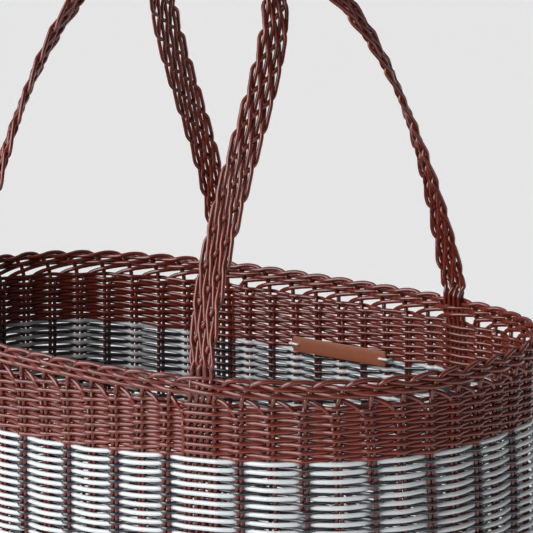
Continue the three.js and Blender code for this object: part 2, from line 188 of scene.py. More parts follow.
@dataclass(frozen=True)
class CordFinish:
    """Glossy extruded plastic cord with fine lengthwise lines."""

    name: str
    color: tuple[float, float, float]
    shade: tuple[float, float, float]
    roughness: float = 0.2
    gloss_spread: tuple[float, float] = (-0.06, 0.1)
    specular: float = 0.7
    coat: float = 0.4
    coat_roughness: float = 0.1
    line_depth: float = 0.3
    line_scale: tuple[float, float, float] = (25, 2400, 1)
    wear_scale: float = 45.0
    wear_share: float = 0.45
    bump: float = 0.22
    bump_height: float = 0.15 * MM

    def material(self) -> bpy.types.Material:
        """Make the node material once. It reads the cord's own map and its tone.

        Returns:
            The material.
        """
        made = bpy.data.materials.get(self.name)
        if made:
            return made
        material = bpy.data.materials.new(self.name)
        sheet = NodeSheet(material, "Principled BSDF")
        cord_map = sheet.add("UVMap", uv_map="cord").outputs["UV"]
        stretched = sheet.add("Mapping", {"Vector": cord_map, "Scale": self.line_scale})
        lines = sheet.add("TexNoise", {
            "Vector": stretched.outputs["Vector"],
            "Scale": 1.0,
            "Detail": 3.0,
        }).outputs["Fac"]
        wear = sheet.add("TexNoise", {
            "Vector": sheet.add("TexCoord").outputs["Object"],
            "Scale": self.wear_scale,
            "Detail": 4.0,
        }).outputs["Fac"]
        shading = sheet.add("Attribute", attribute_name="tone").outputs["Fac"]
        for texture, share in ((wear, self.wear_share), (lines, self.line_depth)):
            terms = {0: texture, 1: share, 2: shading}
            shading = sheet.add("Math", terms, operation="MULTIPLY_ADD").outputs["Value"]
        blend = sheet.add("Mix", {
            "A": (*self.color, 1),
            "B": (*self.shade, 1),
            "Factor": shading,
        }, data_type="RGBA")
        gloss = sheet.add("MapRange", {
            "Value": wear,
            "To Min": self.roughness + self.gloss_spread[0],
            "To Max": self.roughness + self.gloss_spread[1],
        })
        relief = sheet.add("Bump", {
            "Height": lines,
            "Strength": self.bump,
            "Distance": self.bump_height,
        })
        sheet.feed(sheet.shader, {
            "Base Color": blend.outputs["Result"],
            "Roughness": gloss.outputs["Result"],
            "Normal": relief.outputs["Normal"],
            "Specular IOR Level": self.specular,
            "Coat Weight": self.coat,
            "Coat Roughness": self.coat_roughness,
        })
        return material


@dataclass(frozen=True)
class LeatherFinish:
    """Smooth tan leather, or its paler cut edge."""

    name: str
    color: tuple[float, float, float]
    shade: tuple[float, float, float]
    roughness: float
    mottle_scale: float = 130.0
    grain_scale: float = 1800.0
    bump: float = 0.3
    bump_height: float = 0.1 * MM

    def material(self) -> bpy.types.Material:
        """Make the node material, on the object's own coordinates.

        Returns:
            The material.
        """
        material = bpy.data.materials.new(self.name)
        sheet = NodeSheet(material, "Principled BSDF")
        place = sheet.add("TexCoord").outputs["Object"]
        mottle = sheet.add("TexNoise", {
            "Vector": place,
            "Scale": self.mottle_scale,
            "Detail": 6.0,
        })
        blend = sheet.add("Mix", {
            "A": (*self.shade, 1),
            "B": (*self.color, 1),
            "Factor": mottle.outputs["Fac"],
        }, data_type="RGBA")
        grain = sheet.add("TexVoronoi", {"Vector": place, "Scale": self.grain_scale})
        relief = sheet.add("Bump", {
            "Height": grain.outputs["Distance"],
            "Strength": self.bump,
            "Distance": self.bump_height,
        })
        sheet.feed(sheet.shader, {
            "Base Color": blend.outputs["Result"],
            "Roughness": self.roughness,
            "Normal": relief.outputs["Normal"],
        })
        return material


BROWN = CordFinish("brown_cord_finish", (0.205, 0.023, 0.008), (0.122, 0.012, 0.004))
STRAP_BROWN = replace(BROWN, name="strap_cord_finish")
WHITE = CordFinish("white_cord_finish", (0.77, 0.795, 0.81), (0.69, 0.72, 0.74), roughness=0.28)
CHARCOAL = CordFinish("charcoal_cord_finish", (0.019, 0.022, 0.033), (0.010, 0.012, 0.019),
                      line_depth=0.2, coat=0.7)
TAN = LeatherFinish("tan_leather", (0.34, 0.100, 0.046), (0.27, 0.076, 0.035), 0.5)
TAN_EDGE = LeatherFinish("tan_leather_edge", (0.50, 0.32, 0.22), (0.40, 0.24, 0.16), 0.75)


@dataclass
class CordBundle:
    """Round cords that are gathered into one mesh, each with a tone of its own."""

    name: str
    tones: float = 0.6
    sides: int = 8
    end_reach: float = 0.35
    end_taper: float = 0.72
    points: list[Array] = field(default_factory=list)
    faces: list[tuple[int, ...]] = field(default_factory=list)
    maps: list[Array] = field(default_factory=list)
    shades: list[Array] = field(default_factory=list)
    count: int = 0

    def add(self, path: Array, facing: Array, radius: float, closed: bool = False,
            tone: float | None = None) -> None:
        """Add one cord.

        Args:
            path: Points along the middle of the cord.
            facing: A direction for each point that its tangent never takes.
            radius: Half of the cord's thickness.
            closed: Whether the cord runs round into itself.
            tone: Shade of this cord, 0 to 1. Without one it is drawn, up to the bundle's tones.
        """
        if tone is None:
            tone = CHANCE.uniform(0, self.tones)
        path = np.asarray(path, float)
        facing = np.broadcast_to(np.asarray(facing, float), path.shape)
        if closed:
            tangent = unit(np.roll(path, -1, axis=0) - np.roll(path, 1, axis=0))
        else:
            tangent = unit(np.gradient(path, axis=0))
            lead = tangent[0] * radius * self.end_reach
            trail = tangent[-1] * radius * self.end_reach
            path = np.vstack([path[0] - lead, path, path[-1] + trail])
            facing = np.vstack([facing[:1], facing, facing[-1:]])
            tangent = np.vstack([tangent[:1], tangent, tangent[-1:]])
        radii = np.full(len(path), radius)
        if not closed:
            radii[[0, -1]] = radius * self.end_taper
        normal = cross_perp(facing, tangent)
        side = np.cross(tangent, normal)
        turn = (np.arange(self.sides) * 2 * math.pi / self.sides)[None, :, None]
        ring = np.cos(turn) * normal[:, None] + np.sin(turn) * side[:, None]
        self.points.append((path[:, None] + ring * radii[:, None, None]).reshape(-1, 3))
        self.shades.append(np.full(len(path) * self.sides, tone))
        self._skin(path, radius, closed)
        self.count += len(path) * self.sides

    def _skin(self, path: Array, radius: float, closed: bool) -> None:
        """Join the rings of one cord with faces, and lay its map.

        Args:
            path: Points along the middle of the cord.
            radius: Half of the cord's thickness.
            closed: Whether the cord runs round into itself.
        """
        rings = len(path)
        spans = rings if closed else rings - 1
        row = np.arange(spans)[:, None]
        column = np.arange(self.sides)[None, :]
        after = (row + 1) % rings
        beside = (column + 1) % self.sides
        corners = ((row, column), (row, beside), (after, beside), (after, column))
        quads = np.stack([ring * self.sides + spot for ring, spot in corners], -1) + self.count
        self.faces.extend(map(tuple, quads.reshape(-1, 4).tolist()))
        steps = np.linalg.norm(np.diff(path, axis=0, append=path[:1]), axis=1)
        length = np.concatenate([[0], np.cumsum(steps)])
        width = 2 * math.pi * radius / self.sides
        low, high, left = np.broadcast_arrays(
            length[:spans, None], length[1 : spans + 1, None], column * width
        )
        right = left + width
        flat = np.stack([low, left, low, right, high, right, high, left], -1)
        self.maps.append(flat.reshape(-1, 2))
        if not closed:
            first = np.arange(self.sides) + self.count
            last = first + (rings - 1) * self.sides
            self.faces.append(tuple(first[::-1].tolist()))
            self.faces.append(tuple(last.tolist()))
            self.maps.append(np.zeros((2 * self.sides, 2)))

    def build(self, finish: CordFinish, slot: Slot) -> bpy.types.Object:
        """Make the mesh and dress it.

        Args:
            finish: What the cords are made of.
            slot: The record's material slot. Not used.

        Returns:
            The finished object, at the origin.
        """
        mesh = bpy.data.meshes.new(self.name)
        mesh.from_pydata(np.vstack(self.points).tolist(), [], self.faces)
        layer = mesh.uv_layers.new(name="cord")
        layer.data.foreach_set("uv", np.vstack(self.maps).ravel())
        tone = mesh.attributes.new("tone", "FLOAT", "POINT")
        tone.data.foreach_set("value", np.concatenate(self.shades))
        mesh.polygons.foreach_set("use_smooth", [True] * len(mesh.polygons))
        mesh.materials.append(finish.material())
        mesh.update()
        piece = bpy.data.objects.new(self.name, mesh)
        bpy.context.scene.collection.objects.link(piece)
        triangles = sum(len(p.vertices) - 2 for p in mesh.polygons)
        LOG.info("%s: %d triangles", self.name, triangles)
        return piece


@dataclass
class WallPlan:
    """Plan and slope of the wall, as the CAD model has them.

    Slots count round the rim from the middle of the front, towards the right end first.
    """

    band_half: tuple[float, float] = (242 * MM, 153 * MM)
    base_half: tuple[float, float] = (221 * MM, 142 * MM)
    bulge: tuple[float, float] = (4 * MM, 1.7 * MM)
    base_turn: float = 3.0
    exponent: float = 2.46
    rim_pull_in: float = 1.2 * MM
    height: float = 240 * MM
    end_rise: float = 6.6 * MM
    rise_height: float = 130 * MM
    band_edge: float = 184.5 * MM
    band_top: float = 223.5 * MM
    lower_top: float = 34 * MM
    corner: float = 16 * MM
    turn_radius: float = 12 * MM
    slots: int = 60
    leg_slots: tuple[int, ...] = (5, 25, 35, 55)
    leg_extra: float = 0.5
    loose_from: float = 60 * MM
    sag_depth: float = 5.7 * MM
    sag_middle: float = -60 * MM
    sag_half: float = 140 * MM
    sag_lift: float = 1.5 * MM
    sag_ease: float = 10 * MM
    drift_full: float = 110 * MM
    drift_slots: tuple[int, ...] = (-8, -4, -2, 0, 2, 4, 6, 8, 10, 12, 14, 16, 18, 21)
    drift_mm: tuple[float, ...] = (
        0, 4.6, 4.2, 1.8, 0.4, -0.4, 0, 0.7, 2.5, -0.7, -3.4, -6.0, -4.0, 0,
    )
    samples: int = 2880

    def __post_init__(self) -> None:
        """Measure the plan once."""
        angle = np.arange(self.samples + 1) / self.samples * 2 * math.pi - math.pi / 2
        ray = np.stack([np.cos(angle), np.sin(angle)], -1)
        scaled = np.sum(np.abs(ray / np.array(self.band_half)) ** self.exponent, axis=1)
        self.outline = ray * scaled[:, None] ** (-1 / self.exponent)
        steps = np.linalg.norm(np.diff(self.outline, axis=0), axis=1)
        self.lengths = np.concatenate([[0], np.cumsum(steps)])
        self.turns = self.slots + self.leg_extra * len(self.leg_slots)
        self.pitch = self.lengths[-1] / self.turns
        self.drift_places = self.along(np.array(self.drift_slots))

    def along(self, slot: Array, shift: Array = 0.0) -> Array:
        """Distance round the plan to a slot, where each leg's slot is wider than the others.

        Args:
            slot: Slots, whole or in between.
            shift: How much further along the wall, in metres.

        Returns:
            The distances in metres.
        """
        slot = np.asarray(slot, float)
        laps = np.floor(slot / self.slots)
        rest = slot - laps * self.slots
        extra = sum(np.clip(rest - leg + 0.5, 0, 1) for leg in self.leg_slots) * self.leg_extra
        return (laps * self.turns + rest + extra) * self.pitch + shift

    def place(self, along: Array, height: Array, out: Array = 0.0) -> Traced:
        """Points of the upright wall.

        Args:
            along: Distances round the plan.
            height: Heights, as on a long side.
            out: How far outside the middle of the wall.

        Returns:
            The points, and the wall's outward direction at each.
        """
        along, height, out = np.broadcast_arrays(*np.atleast_1d(along, height, out))
        round_trip = np.mod(along + self.drift(along, height), self.lengths[-1])
        plan = at_distance(round_trip, self.lengths, self.outline) / np.array(self.band_half)
        drop = np.clip((self.band_edge - height) / self.band_edge, 0, None)
        above = np.clip(height - self.band_edge, 0, None)
        pull = self.rim_pull_in * above / (self.height - self.band_edge)
        swell = np.sin(np.clip(drop, 0, 1) * math.pi)
        halves = zip(self.band_half, self.base_half, self.bulge)
        half = np.stack([
            band + (base - band) * drop**self.base_turn + bulge * swell - pull
            for band, base, bulge in halves
        ], -1)
        outward = np.zeros((len(along), 3))
        outward[:, :2] = unit(np.sign(plan) * np.abs(plan) ** (self.exponent - 1) / half)
        risen = np.sin(np.clip(height / self.rise_height, 0, 1) * math.pi / 2)
        points = np.zeros((len(along), 3))
        points[:, :2] = half * plan
        points[:, 2] = height + self.end_rise * risen * plan[:, 0] ** 2
        points[:, 2] += self.sag(points[:, 0], height)
        return points + outward * out[:, None], outward

    def _looseness(self, height: Array, low: float, full: float) -> Array:
        """How loose the weave is: 0 up to low, 1 from full to the upper band, 0 over that."""
        return np.interp(height, [low, full, self.band_edge, self.band_top], [0, 1, 1, 0])

    def drift(self, along: Array, height: Array) -> Array:
        """How far the uprights wander along the front and the right end.

        Args:
            along: Distances round the plan.
            height: Heights, as on a long side.

        Returns:
            The distances along the wall.
        """
        wander = np.array(self.drift_mm) * MM
        shift = np.interp(along, self.drift_places, wander, period=self.lengths[-1])
        return shift * self._looseness(height, self.loose_from, self.drift_full)

    def sag(self, x: Array, height: Array) -> Array:
        """How much higher than level the rows lie, where looser weaving lets them sag.

        Args:
            x: Places along the basket.
            height: Heights, as on a long side.

        Returns:
            The differences in height.
        """
        dip = np.clip(1 - ((x - self.sag_middle) / self.sag_half) ** 2, 0, 1)
        share = self._looseness(height, self.loose_from, self.band_edge - self.sag_ease)
        return (self.sag_lift - self.sag_depth * dip) * share

    def shell(self, along: Array, level: Array, out: Array = 0.0) -> Traced:
        """Points of the wall and of the quarter turn under it.

        Args:
            along: Distances round the plan.
            level: Height, or past the corner's start the distance along the turn.
            out: How far outside the middle of the wall.

        Returns:
            The points, and the outward direction at each.
        """
        along, level, out = np.broadcast_arrays(*np.atleast_1d(along, level, out))
        angle = np.clip((self.corner - level) / self.turn_radius, 0, math.pi / 2)
        height = np.maximum(level, self.corner) - self.turn_radius * np.sin(angle)
        points, outward = self.place(along, height)
        inset = self.turn_radius * (1 - np.cos(angle))
        tilted = outward * np.cos(angle)[:, None] - np.array([0, 0, 1]) * np.sin(angle)[:, None]
        return points - outward * inset[:, None] + tilted * out[:, None], tilted

    @property
    def shell_end(self) -> float:
        """Level at which the quarter turn ends."""
        return self.corner - self.turn_radius * math.pi / 2


PLAN = WallPlan()
FRONT_RIGHT, BACK_RIGHT, BACK_LEFT, FRONT_LEFT = PLAN.leg_slots


@dataclass(frozen=True)
class RowKind:
    """How a row swings between outside and inside, from an odd slot to the next even one."""

    radius: float
    swing: float
    course: tuple[float, ...]


SHARES = (0, 0.10, 0.23, 0.40, 0.60, 0.77, 0.90, 1)
PLAIN_ROW = RowKind(1.5 * MM, 2.75 * MM, (1, 0.72, 0.30, 0.05, -0.05, -0.30, -0.72, -1))
WHITE_ROW = RowKind(1.6 * MM, 2.1 * MM, (1, 0.98, 0.84, 0.60, 0.35, 0.08, -0.30, -1))
CHARCOAL_ROW = RowKind(1.4 * MM, 3.5 * MM, (1, 0.70, 0.48, 0.36, 0.24, -0.04, -0.60, -1))


@dataclass
class WovenWall:
    """Rows of weft round the wall, over and under the uprights, and the uprights themselves."""

    plan: WallPlan
    cord: float = 1.5 * MM
    row_pitch: float = 2.72 * MM
    checked_pitch: float = 2.78 * MM
    upper_count: int = 14
    upright_flat: float = 1.7 * MM
    leg_flat: float = 9.4 * MM
    row_waver: float = 0.13 * MM
    grip_spread: float = 0.035
    row_tones: float = 0.55
    pair_half: float = 1.7 * MM
    leg_stake: float = 8.4 * MM
    leg_tail: float = -13.4 * MM
    stake_drop: float = 1.2 * MM
    leg_stub: float = 30 * MM
    tail_drop: float = 30 * MM
    tail_past: float = 1.3 * MM
    tail_rows: tuple[int, int] = (6, 24)
    known_tails: tuple[tuple[int, int], ...] = (
        (58, 11), (0, 8), (1, 9), (7, 2), (8, 5), (10, 2), (3, 12),
    )
    point_pitch: float = 7 * MM
    fewest_points: int = 4
    lean_knots: int = 9
    upright_lean: float = 1.0 * MM
    edge_ease: float = 4 * MM
    rim_ease: float = 14 * MM

    def weave_line(self, kind: RowKind) -> tuple[Array, Array]:
        """Places along a row, and how far out it swings at each, from -1 to 1.

        Args:
            kind: How the row swings.

        Returns:
            Distances round the plan, and swings, outside at the odd slots.
        """
        places = []
        swings = []
        shares = np.array(SHARES)
        course = np.array(kind.course)
        for slot in range(self.plan.slots):
            start = self.plan.along(slot) + self._flat(slot)
            end = self.plan.along(slot + 1) - self._flat((slot + 1) % self.plan.slots)
            if slot % 2:
                places.append(start + (end - start) * shares)
                swings.append(course)
            else:
                places.append(end - (end - start) * shares[::-1])
                swings.append(course[::-1])
        return np.concatenate(places), np.concatenate(swings)

    def _flat(self, slot: int) -> float:
        """Half of the length over which a row lies flat on an upright or a leg."""
        return self.leg_flat if slot in self.plan.leg_slots else self.upright_flat

    def rows(self, name: str, levels: list[float], kind: RowKind,
             outside: tuple[int, ...]) -> CordBundle:
        """Rows of weft.

        Args:
            name: Name of the bundle.
            levels: Level of each row, from the top down.
            kind: The cord's thickness and how it swings.
            outside: For each row in turn, 1 if it lies outside at the odd slots, else -1.

        Returns:
            The bundle with all the rows.
        """
        places, swings = self.weave_line(kind)
        bundle = CordBundle(name, self.row_tones)
        turns = np.linspace(0, self.plan.lengths[-1], self.plan.slots + 1)
        for i, level in enumerate(levels):
            knots = CHANCE.normal(0, self.row_waver, self.plan.slots + 1)
            knots[-1] = knots[0]
            lifted = level + np.interp(places % self.plan.lengths[-1], turns, knots)
            grip = np.repeat(CHANCE.normal(1, self.grip_spread, self.plan.slots), len(SHARES))
            out = outside[i % len(outside)] * swings * kind.swing * grip
            path, facing = self.plan.shell(places, lifted, out)
            bundle.add(path, facing, kind.radius, closed=True)
        return bundle

    def upper_rows(self) -> CordBundle:
        """Brown rows under the open row."""
        levels = levels_down(self.plan.band_top - self.cord, self.row_pitch, self.upper_count)
        return self.rows("upper_weft", levels, PLAIN_ROW, (1, -1))

    def checked_levels(self) -> list[float]:
        """Levels of the white and charcoal rows.

        Returns:
            An even number of levels, from the top down, with white first.
        """
        top = self.plan.band_top - self.cord - self.upper_count * self.row_pitch
        depth = top - self.plan.lower_top - self.cord
        count = 2 * round(depth / (2 * self.checked_pitch))
        return levels_down(top, depth / (count - 1), count)

    def checked_rows(self) -> list[tuple[CordBundle, CordFinish]]:
        """White and charcoal rows by turns, in an upper and a lower half.

        Returns:
            The four bundles, each with its finish.
        """
        levels = self.checked_levels()
        half = len(levels) // 4 * 2
        bundles = []
        for name, part in (("upper", levels[:half]), ("lower", levels[half:])):
            white = self.rows(f"{name}_white_weft", part[0::2], WHITE_ROW, (1,))
            charcoal = self.rows(f"{name}_charcoal_weft", part[1::2], CHARCOAL_ROW, (-1,))
            bundles += [(white, WHITE), (charcoal, CHARCOAL)]
        return bundles

    def lower_rows(self) -> CordBundle:
        """Brown rows above the base and round the corner into it.

        Returns:
            The bundle with all the rows.
        """
        top = self.plan.lower_top - self.cord
        count = round((top - self.plan.shell_end) / self.row_pitch)
        levels = levels_down(top, self.row_pitch, count)
        return self.rows("lower_weft", levels, PLAIN_ROW, (1, -1))

    def stake_shift(self, slot: int) -> float:
        """How far along the wall a slot's own upright stands from the slot's middle."""
        return self.leg_stake if slot in self.plan.leg_slots else self.pair_half

    def tail_shift(self, slot: int) -> float:
        """How far along the wall the border's tail stands from the slot's middle."""
        return self.leg_tail if slot in self.plan.leg_slots else -self.pair_half

    def descent(self, slot: int, shift: float, top: float, bottom: float,
                top_shift: float = 0.0, waver: float = 0.25 * MM) -> Traced:
        """Path of an upright cord down the wall, with the small lean of a hand-laid cord.

        Args:
            slot: The cord's slot.
            shift: How far along the wall it stands from the slot's middle.
            top: Level at which it starts.
            bottom: Level at which it ends.
            top_shift: How much further along it stands under the rim.
            waver: How much it leans to and fro.

        Returns:
            The points, and the outward direction at each.
        """
        plan = self.plan
        count = max(self.fewest_points, round((top - bottom) / self.point_pitch))
        levels = np.linspace(top, bottom, count)
        knots = np.linspace(bottom, top, self.lean_knots)
        lean = np.interp(levels, knots, CHANCE.normal(0, waver, self.lean_knots))
        lean = lean + top_shift * smoothstep(levels, plan.band_top - self.rim_ease, plan.height)
        ease = self.edge_ease
        checked = smoothstep(-levels, -plan.band_edge - ease, -plan.band_edge + ease)
        checked = checked * smoothstep(levels, plan.lower_top - ease, plan.lower_top + ease)
        out = checked * self.upright_lean * (-1 if slot % 2 else 1)
        return plan.shell(plan.along(slot, shift + lean), levels, out)

    def tails(self) -> CordBundle:
        """Ends of the border's cords, tucked down beside the uprights.

        Returns:
            The bundle with a tail for each slot.
        """
        bundle = CordBundle("upright_tails")
        known = dict(self.known_tails)
        levels = self.checked_levels()
        top = self.plan.height - self.tail_drop
        for slot in range(self.plan.slots):
            rows = known.get(slot, int(CHANCE.integers(*self.tail_rows)))
            end = levels[2 * rows] - self.tail_past
            path, facing = self.descent(slot, self.tail_shift(slot), top, end)
            bundle.add(path, facing, self.cord)
        return bundle

    def uprights(self, base: "WovenBase") -> CordBundle:
        """Uprights from the open row down the wall, through the base and up the other side.

        Args:
            base: The base that they cross.

        Returns:
            The bundle with all the uprights.
        """
        bundle = CordBundle("uprights")
        top = self.plan.band_top - self.stake_drop
        for slot, opposite in base.crossings():
            ends = []
            for place in (slot, opposite):
                start = self.leg_stub if place in self.plan.leg_slots else top
                shift = self.stake_shift(place)
                ends.append(self.descent(place, shift, start, self.plan.shell_end))
            (down, facing_down), (up, facing_up) = ends
            middle = base.crossing_path(slot, down[-1], up[-1])
            floor = np.broadcast_to([0, 0, -1.0], middle.shape)
            path = np.vstack([down, middle, up[::-1]])
            facing = np.vstack([facing_down, floor, facing_up[::-1]])
            bundle.add(path, facing, self.cord)
        return bundle


@dataclass
class WovenBase:
    """Woven base: uprights that cross it, with rows of weft lengthways between them."""

    plan: WallPlan
    stake_shift: float
    cord: float = 1.5 * MM
    row_pitch: float = 2.75 * MM
    swing: float = 2.45 * MM
    middle: float = 4 * MM
    side_slots: int = 11
    end_slots: tuple[int, int] = (12, 18)
    crossing_points: int = 20
    corner_gap: float = 9 * MM
    end_reach: float = 1 * MM
    end_gap: float = 1 * MM
    edge_samples: int = 720

    def crossings(self) -> list[tuple[int, int]]:
        """Slots that one upright joins through the base.

        Returns:
            Pairs of slots: across from side to side, then lengthways from end to end.
        """
        slots = self.plan.slots
        first, last = self.end_slots
        across = range(-self.side_slots, self.side_slots + 1)
        sides = [(slot % slots, slots // 2 - slot) for slot in across]
        return sides + [(slot, slots - slot) for slot in range(first, last + 1)]

    def crossing_path(self, slot: int, start: Array, end: Array) -> Array:
        """Path of an upright under the basket.

        Args:
            slot: The upright's slot.
            start: Where it comes out of the corner.
            end: Where it goes into the opposite corner.

        Returns:
            Points between the two corners.
        """
        if slot < self.end_slots[0] or slot > self.end_slots[1]:
            share = np.linspace(0, 1, self.crossing_points + 2)[1:-1, None]
            path = start + (end - start) * share
            path[:, 2] = self.middle
            return path
        return self.row_path(self.end_row(slot), start[0] - self.corner_gap)[::-1]

    def end_row(self, slot: int) -> int:
        """The lengthways row whose place an upright of the ends takes."""
        corner, _ = self.plan.shell(self.plan.along(slot, self.stake_shift), self.plan.shell_end)
        return round(corner[0, 1] / self.row_pitch)

    def rib_places(self) -> Array:
        """Lengthways places of the uprights that cross from side to side.

        Returns:
            The places from left to right, with two more beyond each end, evenly spaced.
        """
        slots = np.arange(-self.side_slots - 2, self.side_slots + 3)
        points, _ = self.plan.shell(self.plan.along(slots), self.plan.shell_end)
        places = points[:, 0]
        step = places[-3] - places[-4]
        places[-2:] = places[-3] + step * np.array([1, 2])
        places[:2] = -places[-2:][::-1]
        return places

    def row_path(self, row: int, reach: float) -> Array:
        """Path of one lengthways row, over and under the uprights.

        Args:
            row: The row's number, counted from the middle.
            reach: How far it goes out at both ends.

        Returns:
            Points from left to right.
        """
        ribs = self.rib_places()
        sign = 1 if row % 2 else -1
        knots = []
        for i, (left, right) in enumerate(zip(ribs, ribs[1:])):
            parity = sign * (1 if i % 2 else -1)
            for share in (0, 0.25, 0.5, 0.75):
                knots.append((left + (right - left) * share, parity * math.cos(math.pi * share)))
        spots = np.array([knot for knot in knots if abs(knot[0]) < reach])
        path = np.zeros((len(spots), 3))
        path[:, 0] = spots[:, 0]
        path[:, 1] = row * self.row_pitch
        path[:, 2] = self.middle + self.swing * spots[:, 1]
        return path

    def rows(self) -> CordBundle:
        """All the lengthways rows that aren't uprights of the ends.

        Returns:
            The bundle with all the rows.
        """
        bundle = CordBundle("base_weft")
        places = np.linspace(0, self.plan.lengths[-1], self.edge_samples + 1)
        points, _ = self.plan.shell(places, self.plan.shell_end)
        right = points[points[:, 0] > 0]
        right = right[np.argsort(right[:, 1])]
        first, final = self.end_slots
        taken = {self.end_row(slot) for slot in range(first, final + 1)}
        last = int((right[-1, 1] - self.cord) / self.row_pitch)
        for row in range(-last, last + 1):
            if row in taken:
                continue
            edge = np.interp(row * self.row_pitch, right[:, 1], right[:, 0])
            reach = edge + self.end_reach
            path = self.row_path(row, edge - self.end_gap)
            ends = path[[0, -1]].copy()
            ends[:, 0] = [-reach, reach]
            ends[:, 2] = self.middle
            path = np.vstack([ends[:1], path, ends[1:]])
            bundle.add(path, [0, 0, 1.0], self.cord)
        return bundle


@dataclass
class RolledBorder:
    """Border rolled from the uprights' own ends.

    Each goes behind, in front, behind, in front and behind. A point of its route is a place in
    slots from its own, a height under the rim and a distance outwards, both in millimetres.
    """

    plan: WallPlan
    wall: WovenWall
    cord: float = 1.6 * MM
    span: int = 6
    steps: int = 3
    waver: float = 0.02
    lift_share: float = 4
    leaving: tuple[float, float] = (0.05, 0.75)
    arriving: tuple[float, float] = (4.95, 5.7)
    route: tuple[tuple[float, float, float], ...] = (
        (0.00, -18.5, 0.0), (0.01, -15.5, 0.2), (0.04, -12.6, 0.7), (0.08, -10.6, -0.1),
        (0.12, -9.0, -0.5), (0.17, -7.2, 1.3), (0.26, -5.4, -0.4), (0.36, -3.9, 0.7),
        (0.48, -2.4, 1.3), (0.66, -1.1, 1.5), (0.90, -0.6, 0.8), (1.12, -0.9, -0.5),
        (1.32, -1.8, -1.7), (1.52, -2.8, -1.7), (1.80, -3.6, -0.2), (2.02, -4.1, 1.9),
        (2.20, -4.7, 2.9), (2.42, -5.5, 2.0), (2.70, -6.2, 0.2), (2.95, -6.9, -1.5),
        (3.12, -7.3, -2.0), (3.32, -7.8, -1.5), (3.60, -8.5, 0.3), (3.87, -9.1, 2.2),
        (4.08, -9.5, 3.0), (4.30, -10.0, 2.2), (4.60, -10.8, 0.4), (4.86, -11.6, -1.2),
        (5.04, -12.4, -1.9), (5.22, -13.5, -1.4), (5.42, -15.0, -0.2), (5.60, -16.9, 0.7),
        (5.71, -19.0, 1.0), (5.80, -21.5, 0.5), (5.87, -24.5, 0.1), (5.91, -28.0, 0.0),
        (5.9275, -31.0, 0.0),
    )

    def cords(self) -> CordBundle:
        """One cord for each upright.

        Returns:
            The bundle with all the cords.
        """
        bundle = CordBundle("border_cords")
        plan = self.plan
        turn, height, depth = np.array(self.route).T
        for slot in range(plan.slots):
            waver = CHANCE.normal(0, self.waver, 2)
            middle = np.sin(turn / self.span * math.pi)
            start = self.wall.stake_shift(slot)
            end = self.wall.tail_shift((slot + self.span) % plan.slots)
            held = 1 - smoothstep(turn, *self.leaving)
            along = plan.along(slot + turn + waver[0] * middle, start * held)
            arrival = plan.along(slot + self.span, end) + (turn - turn[-1]) * plan.pitch
            along = along + (arrival - along) * smoothstep(turn, *self.arriving)
            heights = plan.height + (height + waver[1] * self.lift_share * middle) * MM
            knots, _ = plan.place(along, heights, depth * MM)
            path = rounded_path(knots, self.steps)
            places = np.interp(np.arange(len(path)) / self.steps, np.arange(len(along)), along)
            _, facing = plan.place(places, plan.height)
            bundle.add(path, facing, self.cord)
        return bundle


@dataclass
class HandleLeg:
    """Four cords of a handle that run down inside the wall, and the slot's upright beside them."""

    name: str
    slot: int
    plan: WallPlan
    wall: WovenWall
    cord: float = 1.72 * MM
    offsets: tuple[float, ...] = (-9.9 * MM, -5.0 * MM, -0.1 * MM, 4.5 * MM, 8.4 * MM)
    foot_shift: float = 2.5 * MM
    waver: float = 0.45 * MM
    top: float = 238 * MM
    bottom: float = 20 * MM

    def cords(self) -> CordBundle:
        """The five cords of the leg.

        Returns:
            The bundle with all five.
        """
        bundle = CordBundle(f"{self.name}_cords")
        for offset in self.offsets:
            top = self.top if offset < self.offsets[-1] else self.plan.band_top
            path, facing = self.wall.descent(
                self.slot, offset, top, self.bottom, self.foot_shift, self.waver
            )
            bundle.add(path, facing, self.cord)
        return bundle


@dataclass(frozen=True)
class Arch:
    """Where one strap stands, and how it bends by itself."""

    side: int
    right_slot: int
    left_slot: int
    knee_half: float
    knee_rise: float
    knee_in: float
    crown_half: float
    apex_y: float


FRONT_ARCH = Arch(-1, FRONT_RIGHT, FRONT_LEFT, 85.3 * MM, 136 * MM, 35 * MM, 137 * MM, -1.5 * MM)
BACK_ARCH = Arch(1, BACK_RIGHT, BACK_LEFT, 88.3 * MM, 96 * MM, 2 * MM, 134.3 * MM, 21.5 * MM)


